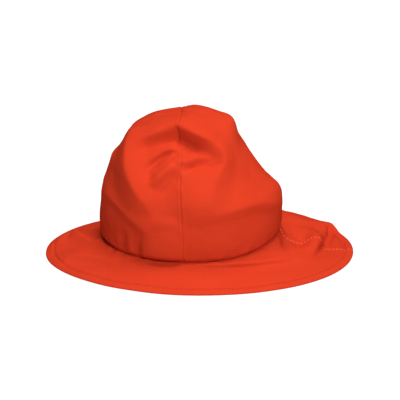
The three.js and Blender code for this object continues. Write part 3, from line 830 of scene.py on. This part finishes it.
def turnedEdge(rim, root, outwards):
    # The edge, rounded over and turned back under the hem
    edge = sizes["hemThickness"] / 2
    low = rim.copy()
    low[:, 2] = np.maximum(rim[:, 2] - 2 * edge, 0)
    turned = []
    for degrees in brimLook["edgeTurn"]:
        rise, out = math.sin(math.radians(degrees)), math.cos(math.radians(degrees))
        turned.append((rim + low) / 2 + (rim - low) / 2 * rise + outwards * edge * out)
    hemUnder = low - outwards * (sizes["hemWidth"] - edge)
    hemUnder[:, 2] = np.maximum(root[:, 2] - sizes["hemThickness"], 0)
    return np.array(turned + [hemUnder])


def endFaces(profile, columns):
    # Closes both ends at the back seam in strips between the upper and the under face
    ends = []
    for side in (0, columns - 1):
        line = [k * columns + side for k in range(profile)]
        a, b = 0, profile - 1
        while b - a > 1:
            strip = [line[a], line[a + 1]] + ([line[b - 1]] if b - a > 2 else []) + [line[b]]
            ends.append(strip if side == 0 else strip[::-1])
            a, b = a + 1, b - 1
    return ends


def placesOnCloth(loop, middle):
    # How far each point lies along the brim and across the cloth, in mm
    steps = np.linalg.norm(np.diff(loop, axis=0), axis=-1)
    down = np.cumsum(np.vstack([0 * steps[:1], steps]), axis=0)
    along = np.concatenate([[0], np.cumsum(np.linalg.norm(np.diff(middle, axis=0), axis=-1))])
    return np.stack([np.broadcast_to(along, down.shape).ravel(), down.ravel()], 1)


def makeBrim():
    look = brimLook
    turn = np.linspace(0, 1, look["columns"] + 1)
    round_ = 2 * math.pi * (turn - look["seamCrowd"] * np.sin(2 * math.pi * turn) / (2 * math.pi))
    outwards, width = brimOutwards(round_)
    across = rowsAcross(width)
    rows, columns = across.shape
    angle = np.broadcast_to(round_, across.shape)
    widths = np.broadcast_to(width, across.shape)
    plain = brimPlain(angle, across).reshape(-1, 3)
    upright = normalOf(brimPlain, -1, angle, across).reshape(-1, 3)
    quads = gridFaces(rows, columns)
    halves = np.vstack([quads[:, :3], quads[:, [0, 2, 3]]])
    quiet = awayFromEdges(across)
    move = quiet.reshape(-1, 1) * foldMove(plain, upright, brimFolds)
    folded = plain + smoothOver(move, halves, len(plain), look["smoothing"])
    normal = pointNormals(folded, halves)
    # Painted highlight, stronger on the sharper crests
    crestHighlight = np.clip((crestsOf(folded, normal, halves) - look["highlightFrom"]) / look["highlightRange"], 0, 1)
    relief = brimRelief(plain, angle.ravel(), across.ravel(), widths.ravel())
    upper = (folded + relief[:, None] * normal).reshape(rows, columns, 3)
    upper[0, :, 2] = joinHeight(round_) - sizes["joinGap"]
    # The under face runs back from inside the hem to the lap under the crown's foot
    plainRows = look["rows"] - look["hemRows"]
    under = upper[:plainRows] - sizes["brimWall"] * normal.reshape(rows, columns, 3)[:plainRows]
    under[..., 2] = np.maximum(under[..., 2], look["floorGap"])
    lap = upper[:1] - sizes["lap"] * outwards
    lapUnder = lap - (0, 0, sizes["brimWall"])
    edge = turnedEdge(upper[-1], upper[plainRows + look["hemRootRow"]], outwards)
    loop = np.concatenate([lap, upper, edge, under[::-1], lapUnder])
    loop[:, 0, 1] += sizes["seamGap"] / 2
    loop[:, -1, 1] -= sizes["seamGap"] / 2
    profile = len(loop)
    faces = gridFaces(profile + 1, columns) % (profile * columns)
    uv = placesOnCloth(loop, upper[rows // 2])
    data = meshFrom("brim", loop.reshape(-1, 3), faces.tolist() + endFaces(profile, columns), uv)
    # The painted highlight, on the upper face away from the join and the rim
    shown = np.zeros(loop.shape[:2])
    shown[1 : rows + 1] = crestHighlight.reshape(rows, columns) * quiet
    keepCrestHighlight(data, shown.ravel())
    finish(place(data, "brim_cloth"), "brim")
    return angle, across, width, upper


brimAngle, brimAcross, brimWidths, brimUpper = makeBrim()
print("brim made")


# Stitches: grains of thread that follow a line on the cloth

stitchLook = {
    "hem": {"Pitch": 3.4, "Length": 2.6, "Thickness": 0.6, "Unevenness": 0.2, "Seed": 7},      # mm
    "seam": {"Pitch": 4.2, "Length": 2.4, "Thickness": 0.42, "Unevenness": 0.2, "Seed": 11},
}
stitchLines = {
    "hemStart": 1.5,           # mm from the back seam to the hem's first stitch
    "seamAside": 1.9,          # mm from the back seam to the row beside it
    "seamFrom": 0.02, "seamTo": 0.99,     # shares of the way from the join to the rim
    "seamSteps": 90,
    "seamColumns": 40,         # of the brim's mesh, in which that row lies
    "above": 0.1,              # mm from the cloth up to the middle of the thread
}


def stitchTree():
    tree = bpy.data.node_groups.new("stitches", "GeometryNodeTree")
    face = tree.interface
    face.new_socket("Geometry", in_out="INPUT", socket_type="NodeSocketGeometry")
    for name in ("Pitch", "Length", "Thickness", "Unevenness"):
        face.new_socket(name, in_out="INPUT", socket_type="NodeSocketFloat")
    face.new_socket("Seed", in_out="INPUT", socket_type="NodeSocketInt")
    face.new_socket("Thread", in_out="INPUT", socket_type="NodeSocketMaterial")
    face.new_socket("Geometry", in_out="OUTPUT", socket_type="NodeSocketGeometry")
    given = addNode(tree, "NodeGroupInput").outputs
    line = addNode(tree, "GeometryNodeMeshToCurve", links={"Mesh": given["Geometry"]})
    spots = addNode(tree, "GeometryNodeCurveToPoints", mode="LENGTH",
                    links={"Curve": line.outputs["Curve"], "Length": given["Pitch"]})
    grain = addNode(tree, "GeometryNodeMeshUVSphere", {"Segments": 8, "Rings": 6, "Radius": 0.5})
    size = addNode(tree, "ShaderNodeCombineXYZ", links={
        "X": given["Thickness"], "Y": given["Thickness"], "Z": given["Length"]})
    stitch = addNode(tree, "GeometryNodeTransform", links={
        "Geometry": grain.outputs["Mesh"], "Scale": size.outputs[0]})
    least = addNode(tree, "ShaderNodeMath", {0: 1.0}, {1: given["Unevenness"]}, operation="SUBTRACT")
    chance = addNode(tree, "FunctionNodeRandomValue", {3: 1.0}, {2: least.outputs[0], "Seed": given["Seed"]},
                     data_type="FLOAT")
    stretch = addNode(tree, "ShaderNodeCombineXYZ", {"X": 1.0, "Y": 1.0}, {"Z": chance.outputs[1]})
    along = addNode(tree, "FunctionNodeAlignRotationToVector", axis="Z",
                    links={"Vector": spots.outputs["Tangent"]})
    row = addNode(tree, "GeometryNodeInstanceOnPoints", links={
        "Points": spots.outputs["Points"], "Instance": stitch.outputs[0],
        "Rotation": along.outputs[0], "Scale": stretch.outputs[0]})
    real = addNode(tree, "GeometryNodeRealizeInstances", links={"Geometry": row.outputs[0]})
    dyed = addNode(tree, "GeometryNodeSetMaterial", links={
        "Geometry": real.outputs[0], "Material": given["Thread"]})
    addNode(tree, "NodeGroupOutput", links={"Geometry": dyed.outputs[0]})
    return tree


def makeStitches(name, path, look, thread, tree):
    data = bpy.data.meshes.new(name + " line")
    data.from_pydata((path * metre).tolist(), [(i, i + 1) for i in range(len(path) - 1)], [])
    guide = place(data, name + " line")
    modifier = guide.modifiers.new("stitches", "NODES")
    modifier.node_group = tree
    for item in tree.interface.items_tree:
        if item.in_out == "INPUT" and item.name == "Thread":
            modifier[item.identifier] = thread
        elif item.in_out == "INPUT" and item.name in look:
            inMetres = item.name in ("Pitch", "Length", "Thickness")
            modifier[item.identifier] = look[item.name] * metre if inMetres else look[item.name]
    graph = bpy.context.evaluated_depsgraph_get()
    sewn = bpy.data.meshes.new_from_object(
        guide.evaluated_get(graph), preserve_all_data_layers=True, depsgraph=graph)
    guide.modifiers.remove(modifier)
    bpy.data.objects.remove(guide)
    sewn.name = name
    sewn.shade_smooth()
    piece = place(sewn, name)
    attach(piece, "root")
    return len(sewn.polygons)


def upperAt(share, column):
    # Points of the brim's upper face at one share across in each of the columns given
    found = [[np.interp(share[c], brimAcross[:, c], brimUpper[:, c, k]) for k in range(3)] for c in column]
    return np.array(found)


def hemPath():
    share = 1 - sizes["hemWidth"] / brimWidths
    path = upperAt(share, range(len(share)))
    path[:, 2] += stitchLines["above"]
    clear = ~((path[:, 0] > 0) & (np.abs(path[:, 1]) < stitchLines["hemStart"]))
    return path[clear]


def seamPath():
    # Along the back seam on the side towards the wearer's left
    columns = brimAcross.shape[1]
    beside = range(columns - stitchLines["seamColumns"], columns)
    path = []
    for share in np.linspace(stitchLines["seamFrom"], stitchLines["seamTo"], stitchLines["seamSteps"]):
        line = upperAt(np.full(columns, share), beside)
        path.append([np.interp(-stitchLines["seamAside"], line[:, 1], line[:, k]) for k in range(3)])
    path = np.array(path)
    path[:, 2] += stitchLines["above"]
    return path


stitches = stitchTree()
hemCount = makeStitches("hem_stitches", hemPath(), stitchLook["hem"], hemThread, stitches)
seamCount = makeStitches("back_seam_stitches", seamPath(), stitchLook["seam"], paleThread, stitches)
print("stitches sewn:", hemCount + seamCount, "faces")
